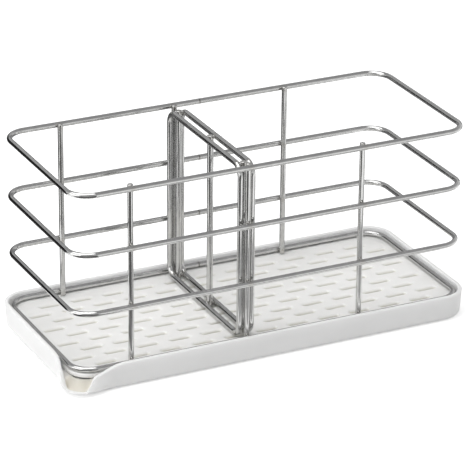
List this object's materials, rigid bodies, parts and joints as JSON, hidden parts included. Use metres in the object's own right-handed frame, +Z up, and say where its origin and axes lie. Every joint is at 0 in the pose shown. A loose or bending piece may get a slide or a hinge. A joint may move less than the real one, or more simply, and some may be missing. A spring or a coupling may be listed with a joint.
{
  "type": "sink sponge holder",
  "caption": "Wire basket with a lift-out divider for sponges and bottles, standing in a drip tray with a slotted drain plate and a corner pouring lip.",
  "frame": {"origin": "centre of the tray's flat underside, on the surface that the holder stands on", "axes": "+Z up, +X along the length, -Y towards the user; the pouring lip is at the -X, -Y corner"},
  "size_m": [0.2101, 0.0957, 0.0978],
  "materials": {
    "steel_wire": "polished stainless steel wire",
    "tray_plastic": "smooth moulded white, slightly glossy",
    "plate_plastic": "smooth moulded white, satin"
  },
  "bodies": {
    "tray": {"drip_tray": "tray_plastic"},
    "plate": {"drain_plate": "plate_plastic"},
    "basket": {"base_ring": "steel_wire", "lower_ring": "steel_wire", "upper_ring": "steel_wire", "top_ring": "steel_wire", "upright_front_left": "steel_wire", "upright_front_centre": "steel_wire", "upright_front_right": "steel_wire", "upright_back_left": "steel_wire", "upright_back_centre": "steel_wire", "upright_back_right": "steel_wire"},
    "divider": {"divider_loop_left": "steel_wire", "divider_loop_right": "steel_wire", "divider_bar_front": "steel_wire", "divider_bar_middle": "steel_wire", "divider_bar_back": "steel_wire"}
  },
  "joints": [
    {"name": "plate_lift", "type": "slide", "parent": "tray", "child": "plate", "axis": [0, 0, 1], "range_m": [0, 0.03]},
    {"name": "basket_lift", "type": "slide", "parent": "plate", "child": "basket", "axis": [0, 0, 1], "range_m": [0, 0.05]},
    {"name": "divider_lift", "type": "slide", "parent": "basket", "child": "divider", "axis": [0, 0, 1], "range_m": [0, 0.1]}
  ]
}
